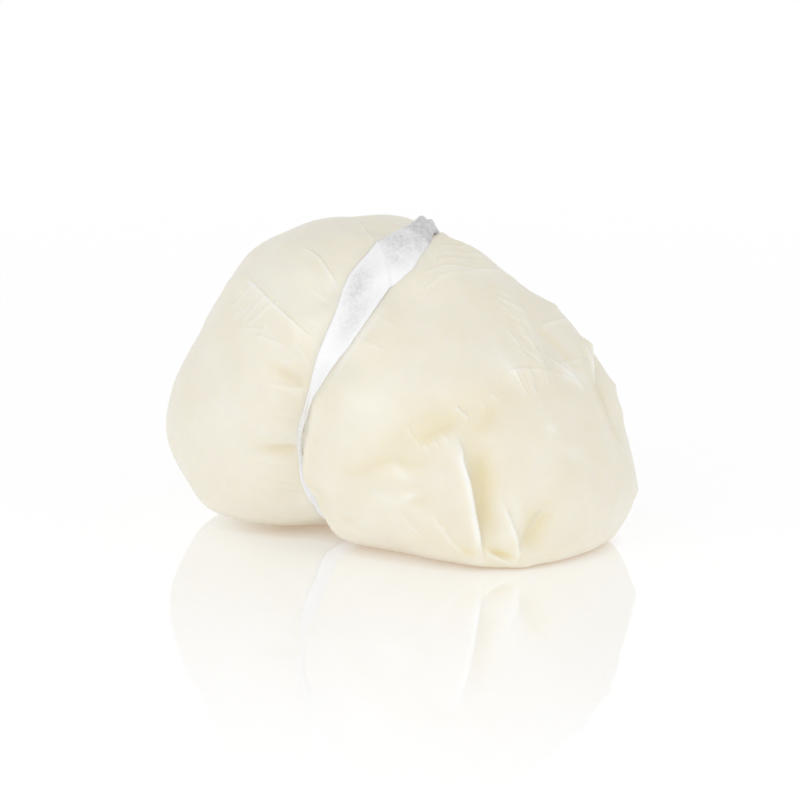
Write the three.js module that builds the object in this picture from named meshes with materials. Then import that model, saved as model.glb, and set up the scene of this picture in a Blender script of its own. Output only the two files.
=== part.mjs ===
// A scamorza: a stretched-curd cheese tied round the waist with a flat ribbon, lying on its side.
// Millimetres, +Z up. The small lobe points to -X, the large lobe to +X, and the floor is z = 0.
//
// The cheese is a star-shaped body: every point of its skin is found along one direction from the
// heart, a point on the plane of the tie. Two leaning ellipsoids give the lobes, the ribbon pinches
// a waist between them, and lumps, folds and pleats are raised or sunk along the same directions.
// A direction is an azimuth (0 faces -Y, 90 faces +X) and an elevation, both in degrees.
import * as THREE from 'three';
import { mergeVertices } from 'three/addons/utils/BufferGeometryUtils.js';

// ---- Driving dimensions ------------------------------------------------------------------------
const HEART = new THREE.Vector3(0.8, -4.4, 30);

// The two lobes: centre, half lengths, tilt about the Y axis and yaw about the Z axis.
const SMALL_LOBE = { centre: [-14.2, -0.9, 33], half: [32.5, 28, 48], tilt: 54, yaw: -8 };
const LARGE_LOBE = { centre: [6.8, 0.6, 29], half: [54, 38, 37], tilt: 35, yaw: 0 };
const LOBE_BLEND = 6;
const FLOOR_BLEND = 5;

// The tie: its plane leans back and is yawed, and the waist is drawn in along it.
const TIE_LEAN = 14;
const TIE_YAW = -21.5;
const PINCH = { reach: 30, rounding: 1.5, lipStart: 1, lipEnd: 10 };
// How the waist goes round the tie: the angle (0 is the front, 90 the top), its degrees off the
// tie's plane, its depth, and the share of it that the large lobe's steep lip makes up.
const WAIST_STOPS = [
  [-90, 2, 9, 0.3],
  [-46, 3, 7.5, 0.8],
  [-22, -3.5, 6.5, 0.7],
  [5, -1, 6, 0.7],
  [42, 2.5, 3.2, 0.4],
  [86, -1, -1.3, 0.2],
  [101, -1, 3.8, 0.4],
  [130, 0, 6, 0.4],
  [180, 0, 8, 0.3],
  [270, 2, 9, 0.3],
];
// The ribbon runs under the cheese in a shallow channel pressed into the flat of the base.
const CHANNEL = { height: 2.4, flat: 6, edge: 12 };

// The ribbon's tape, and its two edges round the tie, in degrees off the tie's plane. It is gathered
// to a strand in the lower front, lies open over the shoulder, and is bunched up over the top.
const TAPE = { thickness: 0.8, gap: 0.45 };
const TAPE_STOPS = [
  [-90, -2, 5],
  [-62, -5, 8],
  [-45, -7, 8],
  [-22, -6.8, -2.5],
  [8, -2.8, 1.2],
  [26, -1.4, 7.2],
  [50, -3.4, 10],
  [68, -7, 8],
  [80, -10.2, 7.6],
  [93, -5, 4],
  [125, -6, 4],
  [200, -6, 6],
  [270, -2, 5],
];
const BUNCH = { angle: 93, spread: 8, height: 1.6, crown: 0.6, pleats: 3, pleatHeight: 0.35 };

// Lumps and dents: azimuth, elevation, height and the width of the bell in degrees.
const LUMPS = [
  [-84, -26, -2.5, 22], // small lobe, drawn in above the floor
  [-86, -9, 1.3, 10], // small lobe, cheek
  [-88, 17, -0.2, 12], // small lobe, flat above the cheek
  [-95, 55, 0.5, 22], // small lobe, crown
  [-76, -50, -1.3, 18], // small lobe, under the cheek
  [-106, -44, 1.8, 14], // small lobe, where it rests
  [170, 77, 2.0, 12], // saddle behind the ribbon
  [-138, -4, 5.0, 24], // small lobe, back
  [-165, 20, -2.0, 20], // small lobe, back, drawn in beside the tie
  [100, 60, 1.4, 14], // large lobe, top beside the tie
  [98, 72, 1.8, 8], // large lobe, against the ribbon's bunch
  [116, 34, 1.5, 16], // large lobe, shoulder
  [109, 6, 1.6, 20], // large lobe, far end
  [107, -6, -1.3, 9], // large lobe, drawn in at the far end
  [103, -17, 1.6, 9], // large lobe, corner of the far end
  [88, -31, -1.2, 12], // large lobe, under the far end
  [60, -39, 2.2, 11], // large lobe, front edge
  [24, -55, -4.0, 18], // large lobe, lifted behind the front edge
  [19, 11, 0.8, 12], // large lobe, dome beside the ribbon
  [24, -21, 1.0, 9], // large lobe, lower bulge
  [87, 24, -1.8, 9], // large lobe, thumb hollow
  [70, 1, 0.5, 6], // large lobe, small swelling
];

// Folds: height (minus is a valley), half width, and the directions that the fold runs through.
const FOLDS = [
  { height: -1.2, width: 5.0, path: [[8, -13], [25, -1], [35, 4], [44, 7], [52, 8], [58, 11]] },
  { height: 1.3, width: 2.4, path: [[42, -1], [44, -12], [46, -22], [52, -38]] },
  { height: -1.3, width: 3.5, path: [[47, -3], [49, -13], [51, -24], [55, -35]] },
  { height: 0.8, width: 2.4, path: [[54, -18], [61, -29]] },
  { height: -1.0, width: 3.0, path: [[67, -19], [62, -30]] },
  { height: 0.9, width: 2.4, path: [[61, -28], [66, -40]] },
  { height: 0.6, width: 2.6, path: [[36, -28], [50, -37]] },
  { height: 0.8, width: 2.6, path: [[85, 42], [82, 31], [76, 18]] },
  { height: -1.2, width: 4.0, path: [[99, 14], [96, 2], [99, -9]] },
  { height: 0.9, width: 3.5, path: [[106, 18], [104, 2], [107, -12]] },
  { height: 0.5, width: 2.4, path: [[-95, 70], [-41, 75], [-3, 77]] },
  { height: 0.6, width: 2.4, path: [[-82, 52], [-71, 58], [-42, 59], [-19, 49]] },
  { height: 0.6, width: 2.4, path: [[-83, 33], [-68, 42], [-47, 42], [-18, 33]] },
  { height: -1.0, width: 4.5, path: [[150, 20], [165, 4], [176, -14]] },
  { height: -0.9, width: 4.5, path: [[-150, 34], [-140, 12], [-136, -12]] },
];
const FOLD_STEPS = 5;
const FOLD_TAPER = 0.25;

// Pleats fan out from the tie over both lobes, at these angles round it: 0 is the front, 90 the top.
const SMALL_LOBE_PLEATS = [17, -15, -44, 52, 84, 112, 141, 168, 198, 229, 258, 288];
const LARGE_LOBE_PLEATS = [-30, 2, 34, 66, 98, 127, 160, 189, 217, 250, 281];
const PLEAT = { depth: 1.1, width: 2.6, start: 3, deepest: 9, reach: 34 };

// How finely the skin is divided: round the tie, and from lobe end to lobe end.
const SECTORS = 84;
const ROWS = 60;
const TAPE_ROWS = 4;
const ROW_CROWDING = { share: 0.6, reach: 20 };

// ---- Small helpers -----------------------------------------------------------------------------
const radians = THREE.MathUtils.degToRad;
const degrees = THREE.MathUtils.radToDeg;
const bell = (x, width) => Math.exp(-((x / width) ** 2));
const fade = (x, from, to) => THREE.MathUtils.smoothstep(x, from, to);
const lerp = THREE.MathUtils.lerp;

/** The larger of two values, with the corner between them rounded over the width k. */
function roundedMax(a, b, k) {
  const near = Math.max(k - Math.abs(a - b), 0) / k;
  return Math.max(a, b) + near * near * k * 0.25;
}

/** The unit vector of an azimuth and an elevation. */
function direction(azimuth, elevation) {
  const a = radians(azimuth);
  const e = radians(elevation);
  return new THREE.Vector3(Math.sin(a) * Math.cos(e), -Math.cos(a) * Math.cos(e), Math.sin(e));
}

// ---- The tie's own axes ------------------------------------------------------------------------
const TIE_AXIS = new THREE.Vector3(
  Math.cos(radians(TIE_LEAN)) * Math.cos(radians(TIE_YAW)),
  Math.cos(radians(TIE_LEAN)) * Math.sin(radians(TIE_YAW)),
  -Math.sin(radians(TIE_LEAN)),
);
const TIE_UP = new THREE.Vector3(0, 0, 1).addScaledVector(TIE_AXIS, -TIE_AXIS.z).normalize();
const TIE_FRONT = new THREE.Vector3().crossVectors(TIE_AXIS, TIE_UP);

/** The direction at an angle round the tie and at a number of degrees off it, plus to the large lobe. */
function tieDirection(round, off) {
  const inPlane = new THREE.Vector3()
    .addScaledVector(TIE_FRONT, Math.cos(radians(round)))
    .addScaledVector(TIE_UP, Math.sin(radians(round)));
  return inPlane.multiplyScalar(Math.cos(radians(off))).addScaledVector(TIE_AXIS, Math.sin(radians(off)));
}

/** The angle of a direction round the tie, and its degrees off the tie. */
function tieAngles(d) {
  const round = degrees(Math.atan2(d.dot(TIE_UP), d.dot(TIE_FRONT)));
  const off = degrees(Math.asin(THREE.MathUtils.clamp(d.dot(TIE_AXIS), -1, 1)));
  return { round, off };
}

// ---- The skin ----------------------------------------------------------------------------------
/** Turns a lobe's sizes into a function: how far a ray from the heart runs inside its ellipsoid. */
function lobeReach({ centre, half, tilt, yaw }) {
  const turn = new THREE.Matrix4().makeRotationY(-radians(tilt));
  turn.multiply(new THREE.Matrix4().makeRotationZ(-radians(yaw)));
  const shrink = new THREE.Vector3(1 / half[0], 1 / half[1], 1 / half[2]);
  const start = HEART.clone().sub(new THREE.Vector3(...centre)).applyMatrix4(turn).multiply(shrink);
  return (d) => {
    const v = d.clone().applyMatrix4(turn).multiply(shrink);
    const a = v.dot(v);
    const b = v.dot(start);
    const c = start.dot(start) - 1;
    return (-b + Math.sqrt(b * b - a * c)) / a;
  };
}
const smallReach = lobeReach(SMALL_LOBE);
const largeReach = lobeReach(LARGE_LOBE);

/** The values that a table of stops gives at an angle round the tie, smoothly from stop to stop. */
function around(stops, round) {
  const angle = THREE.MathUtils.euclideanModulo(round + 90, 360) - 90;
  const next = Math.max(stops.findIndex((stop) => stop[0] >= angle), 1);
  const [from, ...start] = stops[next - 1];
  const [to, ...end] = stops[next];
  const share = fade(angle, from, to);
  return start.map((value, i) => lerp(value, end[i], share));
}

/** How deep the ribbon draws in the waist. */
function pinchDepth(round, off) {
  const [centre, depth, lip] = around(WAIST_STOPS, round);
  const side = off - centre;
  const gentle = Math.max(1 - Math.hypot(side, PINCH.rounding) / PINCH.reach, 0) ** 2;
  const steep = 1 - fade(side, PINCH.lipStart, PINCH.lipEnd);
  return depth * lerp(gentle, steep, side > 0 ? lip : 0);
}

const lumpShapes = LUMPS.map(([azimuth, elevation, height, width]) => ({
  centre: direction(azimuth, elevation),
  height,
  width: radians(width),
}));

/** The height of all lumps and dents in a direction. */
function lumpHeight(d) {
  let height = 0;
  for (const lump of lumpShapes) {
    height += lump.height * bell(d.angleTo(lump.centre), lump.width);
  }
  return height;
}

const foldShapes = FOLDS.map(({ height, width, path }) => {
  const curve = new THREE.CatmullRomCurve3(path.map((p) => direction(...p)));
  return { height, width, points: curve.getPoints((path.length - 1) * FOLD_STEPS) };
});

/** The nearest place on a row of points: its distance, and how far along it is, from 0 to 1. */
function nearest(points, d) {
  const best = { distance: Infinity, along: 0 };
  const segment = new THREE.Line3();
  const foot = new THREE.Vector3();
  for (let i = 0; i < points.length - 1; i += 1) {
    segment.set(points[i], points[i + 1]);
    const share = segment.closestPointToPointParameter(d, true);
    const distance = segment.at(share, foot).distanceTo(d);
    if (distance < best.distance) {
      best.distance = distance;
      best.along = (i + share) / (points.length - 1);
    }
  }
  return best;
}

/** The height of all folds in a direction, where the skin is this far from the heart. */
function foldHeight(d, reach) {
  let height = 0;
  for (const fold of foldShapes) {
    const { distance, along } = nearest(fold.points, d);
    const taper = fade(along, -FOLD_TAPER, FOLD_TAPER) * fade(1 - along, -FOLD_TAPER, FOLD_TAPER);
    height += fold.height * bell(distance * reach, fold.width) * taper;
  }
  return height;
}

/** The depth of the pleats, which start beside the ribbon and run out on the lobe. */
function pleatDepth(round, off, reach) {
  const angles = off < 0 ? SMALL_LOBE_PLEATS : LARGE_LOBE_PLEATS;
  const out = Math.abs(off);
  const strength = fade(out, PLEAT.start, PLEAT.deepest) * (1 - fade(out, PLEAT.deepest, PLEAT.reach));
  let depth = 0;
  for (const angle of angles) {
    const turn = radians(THREE.MathUtils.euclideanModulo(round - angle + 180, 360) - 180);
    depth += PLEAT.depth * strength * bell(turn * reach, PLEAT.width + out / 8);
  }
  return depth;
}

/** How far the skin is from the heart in a direction. */
function skinReach(d) {
  const { round, off } = tieAngles(d);
  const lobes = roundedMax(smallReach(d), largeReach(d), LOBE_BLEND);
  const reach = lobes - pinchDepth(round, off) + lumpHeight(d);
  return reach + foldHeight(d, reach) - pleatDepth(round, off, reach);
}

/** The skin's point in a direction, settled on the floor and then lifted by a height. */
function skinPoint(d, lift = 0) {
  const p = HEART.clone().addScaledVector(d, skinReach(d));
  const { round, off } = tieAngles(d);
  const [centre] = around(WAIST_STOPS, round);
  const channel = CHANNEL.height * (1 - fade(Math.abs(off - centre), CHANNEL.flat, CHANNEL.edge));
  p.z = roundedMax(p.z, channel, FLOOR_BLEND);
  return p.addScaledVector(d, lift);
}

// ---- The cheese --------------------------------------------------------------------------------
/** Draws the rows of the skin together at the tie. */
function crowded(off) {
  return off * (1 - ROW_CROWDING.share * bell(off, ROW_CROWDING.reach));
}

/** The whole cheese: a sphere whose poles are the lobes' ends, drawn out to the skin. */
function cheeseGeometry() {
  const sphere = new THREE.SphereGeometry(1, SECTORS, ROWS);
  sphere.deleteAttribute('normal');
  sphere.deleteAttribute('uv');
  const geometry = mergeVertices(sphere, 1e-5);
  const position = geometry.attributes.position;
  const v = new THREE.Vector3();
  for (let i = 0; i < position.count; i += 1) {
    v.fromBufferAttribute(position, i);
    const off = degrees(Math.asin(THREE.MathUtils.clamp(v.y, -1, 1)));
    const round = degrees(Math.atan2(v.z, v.x));
    const p = skinPoint(tieDirection(round, crowded(off)));
    position.setXYZ(i, p.x, p.y, p.z);
  }
  return geometry;
}

// ---- The ribbon --------------------------------------------------------------------------------
/** One closed section of the tape: its outer face from side to side, then its inner face back. */
function tapeSection(round) {
  const [near, far] = around(TAPE_STOPS, round);
  const bunch = BUNCH.height * bell(round - BUNCH.angle, BUNCH.spread);
  const inner = [];
  const outer = [];
  for (let k = 0; k <= TAPE_ROWS; k += 1) {
    const side = (2 * k) / TAPE_ROWS - 1;
    const d = tieDirection(round, lerp(near, far, k / TAPE_ROWS));
    const pleat = BUNCH.pleatHeight * Math.cos(side * Math.PI * BUNCH.pleats);
    const rise = bunch * (1 - BUNCH.crown * side * side + pleat);
    inner.push(skinPoint(d, TAPE.gap));
    outer.push(skinPoint(d, TAPE.gap + TAPE.thickness + Math.max(rise, 0)));
  }
  return [...outer, ...inner.reverse()];
}

/** The ribbon: its sections joined into one closed band round the waist. */
function ribbonGeometry() {
  const sides = 2 * (TAPE_ROWS + 1);
  const points = [];
  const index = [];
  for (let i = 0; i < SECTORS; i += 1) {
    points.push(...tapeSection((360 * i) / SECTORS));
    for (let k = 0; k < sides; k += 1) {
      const a = i * sides + k;
      const b = i * sides + ((k + 1) % sides);
      const next = ((i + 1) % SECTORS) * sides;
      const c = next + k;
      const e = next + ((k + 1) % sides);
      index.push(a, b, c, b, e, c);
    }
  }
  const geometry = new THREE.BufferGeometry().setFromPoints(points);
  geometry.setIndex(index);
  return geometry;
}

// ---- The two pieces ----------------------------------------------------------------------------
/** One named piece with its own finish. */
function piece(name, geometry, colour, roughness) {
  const material = new THREE.MeshStandardMaterial({ color: colour, roughness, metalness: 0 });
  const mesh = new THREE.Mesh(geometry, material);
  mesh.name = name;
  return mesh;
}

const scamorza = new THREE.Group();
scamorza.add(piece('cheese', cheeseGeometry(), 0xebe4cf, 0.35));
scamorza.add(piece('ribbon', ribbonGeometry(), 0xf2f2f4, 0.5));

export default scamorza;
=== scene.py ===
"""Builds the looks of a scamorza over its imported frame: the cheese, its ribbon and a studio stage.

The cheese is a star-shaped body, as its solid is: each point of its skin lies along one direction
from the heart, a point on the plane of the tie. Sizes below are millimetres and degrees, and a mesh
is turned into metres when it is made. A direction is an azimuth, where 0 faces -Y and 90 faces +X,
and an elevation. An angle round the tie is 0 at the front and 90 at the top, and degrees off the tie
are minus on the small lobe and plus on the large one.
"""

import math

import bpy
import numpy as np
from bpy.props import FloatProperty, FloatVectorProperty, IntProperty, PointerProperty
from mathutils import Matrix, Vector


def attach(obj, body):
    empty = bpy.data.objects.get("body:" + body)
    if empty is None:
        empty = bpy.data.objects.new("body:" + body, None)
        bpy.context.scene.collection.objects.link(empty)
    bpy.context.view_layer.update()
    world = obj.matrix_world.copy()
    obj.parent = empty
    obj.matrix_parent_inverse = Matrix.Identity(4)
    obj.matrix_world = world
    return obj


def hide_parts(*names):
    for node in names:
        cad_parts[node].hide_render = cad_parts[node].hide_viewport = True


bl_info = {
    "name": "Scamorza",
    "version": (1, 0, 0),
    "blender": (4, 5, 0),
    "location": "3D View > Sidebar > Scamorza",
    "description": "Builds a ribbon-tied scamorza over its packed frame, with a studio stage",
    "category": "Add Mesh",
}

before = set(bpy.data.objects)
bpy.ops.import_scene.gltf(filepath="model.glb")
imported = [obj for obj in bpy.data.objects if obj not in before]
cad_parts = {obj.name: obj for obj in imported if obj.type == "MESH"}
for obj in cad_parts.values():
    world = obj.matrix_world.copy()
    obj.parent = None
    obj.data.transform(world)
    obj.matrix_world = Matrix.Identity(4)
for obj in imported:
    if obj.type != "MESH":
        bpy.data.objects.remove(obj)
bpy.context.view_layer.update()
MM = 0.001

# ---- The body's sizes, as in the solid ----------------------------------------------------------
HEART = np.array([0.8, -4.4, 30.0])
SMALL_LOBE = {"centre": (-14.2, -0.9, 33.0), "half": (32.5, 28.0, 48.0), "tilt": 54.0, "yaw": -8.0}
LARGE_LOBE = {"centre": (6.8, 0.6, 29.0), "half": (54.0, 38.0, 37.0), "tilt": 35.0, "yaw": 0.0}
LOBE_BLEND = 6.0
FLOOR_BLEND = 5.0
TIE_LEAN = 14.0
TIE_YAW = -21.5

# How the waist goes round the tie: the angle, its degrees off the tie's plane, its depth, and the
# share of it that the large lobe's steep lip makes up.
WAIST_STOPS = (
    (-90, 2, 9, 0.3),
    (-46, 3, 7.5, 0.8),
    (-22, -3.5, 6.5, 0.7),
    (5, -1, 6, 0.7),
    (42, 2.5, 3.2, 0.4),
    (86, -1, -1.3, 0.2),
    (101, -1, 3.8, 0.4),
    (130, 0, 6, 0.4),
    (180, 0, 8, 0.3),
    (270, 2, 9, 0.3),
)
PINCH_REACH = 30.0
PINCH_ROUNDING = 1.5
LIP = (1.0, 10.0)
CHANNEL_HEIGHT = 2.4
CHANNEL_EDGE = (6.0, 12.0)

# Lumps and dents: azimuth, elevation, height and the width of the bell in degrees.
LUMPS = (
    (-84, -26, -2.5, 22),  # small lobe, drawn in above the floor
    (-86, -9, 1.3, 10),  # small lobe, cheek
    (-88, 17, -0.2, 12),  # small lobe, flat above the cheek
    (-95, 55, 0.5, 22),  # small lobe, crown
    (-76, -50, -1.3, 18),  # small lobe, under the cheek
    (-106, -44, 1.8, 14),  # small lobe, where it rests
    (170, 77, 2.0, 12),  # saddle behind the ribbon
    (-138, -4, 5.0, 24),  # small lobe, back
    (-165, 20, -2.0, 20),  # small lobe, back, drawn in beside the tie
    (100, 60, 1.4, 14),  # large lobe, top beside the tie
    (98, 72, 1.8, 8),  # large lobe, against the ribbon's bunch
    (116, 34, 1.5, 16),  # large lobe, shoulder
    (109, 6, 1.6, 20),  # large lobe, far end
    (107, -6, -1.3, 9),  # large lobe, drawn in at the far end
    (103, -17, 1.6, 9),  # large lobe, corner of the far end
    (88, -31, -1.2, 12),  # large lobe, under the far end
    (60, -39, 2.2, 11),  # large lobe, front edge
    (24, -55, -4.0, 18),  # large lobe, lifted behind the front edge
    (19, 11, 0.8, 12),  # large lobe, dome beside the ribbon
    (24, -21, 1.0, 9),  # large lobe, lower bulge
    (87, 24, -1.8, 9),  # large lobe, thumb hollow
    (70, 1, 0.5, 6),  # large lobe, small swelling
)

# Folds in the curd: height (minus is a valley), half width, and the directions they run through.
FOLDS = (
    (-1.2, 5.0, ((8, -13), (25, -1), (35, 4), (44, 7), (52, 8), (58, 11))),
    (1.3, 2.4, ((42, -1), (44, -12), (46, -22), (52, -38))),
    (-1.3, 3.5, ((47, -3), (49, -13), (51, -24), (55, -35))),
    (0.8, 2.4, ((54, -18), (61, -29))),
    (-1.0, 3.0, ((67, -19), (62, -30))),
    (0.9, 2.4, ((61, -28), (66, -40))),
    (0.6, 2.6, ((36, -28), (50, -37))),
    (0.8, 2.6, ((85, 42), (82, 31), (76, 18))),
    (-1.2, 4.0, ((99, 14), (96, 2), (99, -9))),
    (0.9, 3.5, ((106, 18), (104, 2), (107, -12))),
    (0.5, 2.4, ((-95, 70), (-41, 75), (-3, 77))),
    (0.6, 2.4, ((-82, 52), (-71, 58), (-42, 59), (-19, 49))),
    (0.6, 2.4, ((-83, 33), (-68, 42), (-47, 42), (-18, 33))),
    (-1.0, 4.5, ((150, 20), (165, 4), (176, -14))),
    (-0.9, 4.5, ((-150, 34), (-140, 12), (-136, -12))),
)
FOLD_TAPER = 0.25
BELL_REACH = 3.0
SMALL_LOBE_PLEATS = (17, -15, -44, 52, 84, 112, 141, 168, 198, 229, 258, 288)
LARGE_LOBE_PLEATS = (-30, 2, 34, 66, 98, 127, 160, 189, 217, 250, 281)
PLEAT_DEPTH = 1.1
PLEAT_WIDTH = 2.6
PLEAT_SPAN = (3.0, 9.0, 34.0)
PLEAT_SPREAD = 8.0
PATH_STEPS = 5

# ---- Finer relief, which only the looks have ----------------------------------------------------
# Soft furrows and ridges that sharpen the folds: height, half width and path.
SHARP_FOLDS = (
    (-0.9, 2.0, ((-33, 22), (-26, 21), (-20, 20))),
    (0.5, 0.9, ((-38, 15), (-28, 16), (-20, 16))),
    (0.4, 1.2, ((-29, 25), (-24, 23))),
    (-0.9, 1.5, ((-46, -12), (-39, -13), (-33, -13))),
    (0.5, 0.9, ((-50, -15), (-42, -18), (-35, -20))),
    (-0.7, 1.5, ((51, -3), (51, -9), (52, -18), (53, -24))),
    (0.7, 2.4, ((53, -26), (55, -31), (56, -36))),
    (-0.6, 1.3, ((67, -19), (65, -24), (63, -28))),
    (-0.4, 1.4, ((50, 2), (54, 6), (56, 9))),
    (-0.5, 1.6, ((6, -15), (19, -9), (30, -9), (35, -6))),
    (0.35, 1.6, ((19, -23), (25, -19), (31, -17))),
    (-0.4, 1.6, ((27, -22), (34, -19))),
    (-0.7, 1.4, ((103, 15), (99, 8), (98, 1), (100, -6))),
    (-0.4, 1.2, ((33, 0), (38, 3), (43, 5))),
    (-0.4, 1.0, ((55, -32), (60, -32))),
)

# Folds with a sharp edge, where the skin drops on the side of the larger azimuth or elevation:
# height, width of the drop, spread of the fold and path.
LEDGES = (
    (
        1.0, 0.7, 2.6,
        ((42, 4), (44, -2), (44, -6), (46, -12), (47, -17), (49, -24), (51, -31), (54, -40)),
    ),
    (0.4, 0.5, 1.6, ((55, -16), (56, -19), (58, -23), (60, -27), (61, -31), (61, -38))),
    (-0.3, 0.5, 1.6, ((68, -17), (67, -20), (65, -24), (62, -28))),
    (0.26, 0.4, 1.4, ((35, -23), (38, -27), (41, -30), (44, -33), (48, -35))),
    (0.3, 0.4, 1.2, ((52, -31), (55, -33), (58, -34), (62, -35))),
    (0.26, 0.4, 1.2, ((44, 12), (45, 10), (47, 8), (48, 6))),
    (0.5, 0.5, 1.4, ((104, 21), (104, 18), (102, 15), (99, 11), (98, 7))),
    (0.5, 0.5, 1.2, ((108, 19), (106, 17), (103, 14), (101, 11))),
    (0.45, 0.5, 1.4, ((84, 22), (87, 14), (88, 8))),
)

# Creases of the tight skin, each a low ledge: height, width of the drop and path.
CREASES = (
    (0.32, 0.34, ((-120, 70), (-63, 82), (4, 75), (9, 70))),
    (0.42, 0.36, ((-60, 61), (-47, 63), (-35, 63), (-21, 60), (-11, 56))),
    (0.18, 0.34, ((-46, 66), (-35, 66), (-28, 64))),
    (0.46, 0.36, ((-64, 44), (-58, 44), (-45, 43), (-29, 40), (-13, 35))),
    (0.30, 0.40, ((-69, 33), (-62, 36), (-57, 43), (-54, 46))),
    (0.26, 0.36, ((-53, 32), (-52, 35), (-47, 42), (-45, 44))),
    (0.28, 0.36, ((-50, 32), (-47, 35), (-41, 42), (-39, 44))),
    (0.20, 0.36, ((-60, 33), (-56, 35), (-52, 39))),
    (0.22, 0.40, ((-47, 30), (-40, 31), (-32, 31), (-28, 30))),
    (0.16, 0.34, ((-56, 29), (-50, 31), (-43, 33), (-39, 33))),
    (0.18, 0.34, ((-42, 29), (-41, 33), (-40, 37))),
    (-0.18, 0.36, ((-68, -5), (-69, -8), (-72, -15), (-76, -24))),
    (0.22, 0.36, ((-25, 34), (-23, 32), (-19, 29), (-16, 24))),
    (0.28, 0.36, ((72, 69), (75, 68), (89, 66), (100, 63))),
    (0.34, 0.40, ((58, 61), (69, 60), (87, 55), (108, 47), (112, 45))),
    (0.24, 0.34, ((44, 60), (50, 61), (60, 61), (71, 60))),
    (0.22, 0.34, ((42, 55), (46, 56), (58, 58), (77, 56))),
    (0.24, 0.34, ((70, 67), (74, 66), (91, 62), (108, 54))),
    (0.20, 0.34, ((58, 64), (61, 64), (78, 62), (94, 57))),
    (0.26, 0.34, ((80, 49), (82, 47), (86, 43), (90, 37))),
    (0.22, 0.32, ((79, 46), (81, 44), (83, 40), (88, 35))),
    (0.20, 0.32, ((76, 45), (78, 43), (79, 39), (83, 34))),
    (0.38, 0.40, ((84, 38), (84, 34), (86, 27), (83, 20), (83, 16))),
    (0.30, 0.34, ((80, 36), (80, 33), (79, 26), (78, 20), (78, 17))),
    (0.26, 0.34, ((73, 34), (73, 31), (73, 25), (73, 20))),
    (0.24, 0.34, ((88, 36), (88, 33), (88, 28))),
    (0.34, 0.40, ((91, 30), (95, 30), (106, 28), (110, 27))),
    (0.26, 0.34, ((85, 18), (87, 18), (95, 17), (98, 17))),
    (0.28, 0.40, ((79, 17), (81, 16), (85, 14), (88, 10))),
    (0.34, 0.34, ((85, 20), (85, 17), (85, 13))),
    (0.34, 0.34, ((87, 19), (87, 16), (87, 12))),
    (0.30, 0.34, ((89, 19), (89, 16), (89, 12))),
    (0.30, 0.36, ((62, 19), (66, 20), (72, 19), (79, 17), (82, 17))),
    (0.30, 0.32, ((65, 23), (66, 20), (67, 13), (68, 11))),
    (0.30, 0.32, ((71, 21), (71, 18), (70, 13), (71, 11))),
    (0.24, 0.32, ((76, 18), (76, 16), (76, 13))),
    (0.22, 0.32, ((52, 13), (53, 11), (54, 9))),
    (0.22, 0.32, ((56, 14), (57, 13), (58, 11))),
    (0.20, 0.34, ((27, 5), (28, 3), (30, 0))),
    (0.26, 0.34, ((33, -1), (34, -2), (35, -5))),
    (0.26, 0.32, ((36, 1), (37, -1), (38, -4))),
    (0.24, 0.30, ((39, 3), (40, 1), (41, -1))),
    (0.20, 0.30, ((30, 1), (31, -1), (31, -3))),
    (0.22, 0.34, ((24, -26), (27, -28), (31, -32), (36, -34))),
)

# Bundles of thin creases: height, width, how many, and the first and last of their paths.
BUNDLES = (
    (0.16, 0.30, 3, ((64, 69), (82, 67), (98, 62)), ((58, 63), (82, 60), (104, 50))),
    (0.16, 0.30, 3, ((46, 60), (66, 59), (88, 54)), ((42, 57), (62, 58), (84, 54))),
    (0.20, 0.26, 9, ((84, 48), (88, 43), (91, 37)), ((74, 41), (78, 37), (83, 32))),
    (
        0.22, 0.26, 12,
        ((84, 38), (85, 33), (85, 26), (83, 18)),
        ((69, 33), (72, 26), (75, 21), (76, 16)),
    ),
    (0.20, 0.28, 7, ((60, 20), (62, 14)), ((76, 19), (74, 12))),
    (0.26, 0.30, 6, ((97, 22), (97, 16), (95, 11)), ((108, 20), (105, 15), (100, 10))),
    (0.18, 0.32, 4, ((82, 16), (83, 12)), ((94, 15), (93, 11))),
)

# All creases: their spread in widths of their drop, and a share of the heights given above.
CREASE_SPREAD = 2.6
CREASE_HEIGHT = 0.6
# How a ledge ends, how far it drops in rises, and the highlight painted white on its crest, which also
# raises its gloss:
# per millimetre of its rise, at most, and over how many widths of its drop.
LEDGE_TAPER = 0.3
LEDGE_STEPS = 6
LEDGE_FALL = 1.6
HIGHLIGHT_PER_RISE = 1.5
HIGHLIGHT_MOST = 0.9
HIGHLIGHT_WIDTH = 1.6

# The creases that chance lays: fans over the far sides, in azimuths, elevations and lengths, and
# short ones out from the tape, in steps round the tie and lengths, all in degrees.
STRAY_FANS = 16
STRAY_AZIMUTHS = (125.0, 265.0)
STRAY_ELEVATIONS = (-25.0, 65.0)
STRAY_LENGTHS = (10.0, 26.0)
WAIST_CREASE_STEP = 9.0
WAIST_CREASE_LENGTHS = (5.0, 14.0)

# Painted highlights, white painted into the skin's colour where the film would catch the light, which
# also raise its gloss: strength, half width and path.
PAINTED_HIGHLIGHTS = (
    (0.30, 1.1, ((18, -21), (24, -22), (28, -20))),
    (0.45, 0.7, ((26, -19), (30, -18))),
    (0.40, 0.9, ((23, -10), (25, -12), (28, -13))),
    (0.18, 1.4, ((28, -23), (33, -25), (36, -27))),
    (0.22, 9.0, ((8, 24), (18, 4), (10, -12))),
    (0.60, 0.8, ((44, -4), (45, -8), (45, -12), (47, -18), (48, -24), (50, -30))),
    (0.35, 1.3, ((57, -27), (59, -22), (58, -16))),
    (0.15, 3.0, ((70, 56), (80, 54), (92, 50))),
    (0.38, 8.0, ((-24, 45), (-36, 49), (-50, 47))),
    (0.18, 8.0, ((-58, 6), (-70, -12))),
    (0.40, 1.7, ((63, 24), (65, 20), (66, 16))),
    (0.45, 1.2, ((69, 2), (71, 2))),
    (0.25, 1.5, ((73, -4), (77, -6))),
    (0.45, 0.9, ((16, 49), (10, 42), (5, 36), (1, 31), (-3, 25))),
    (0.30, 1.5, ((82, 14), (88, 13), (95, 11))),
)
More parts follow.
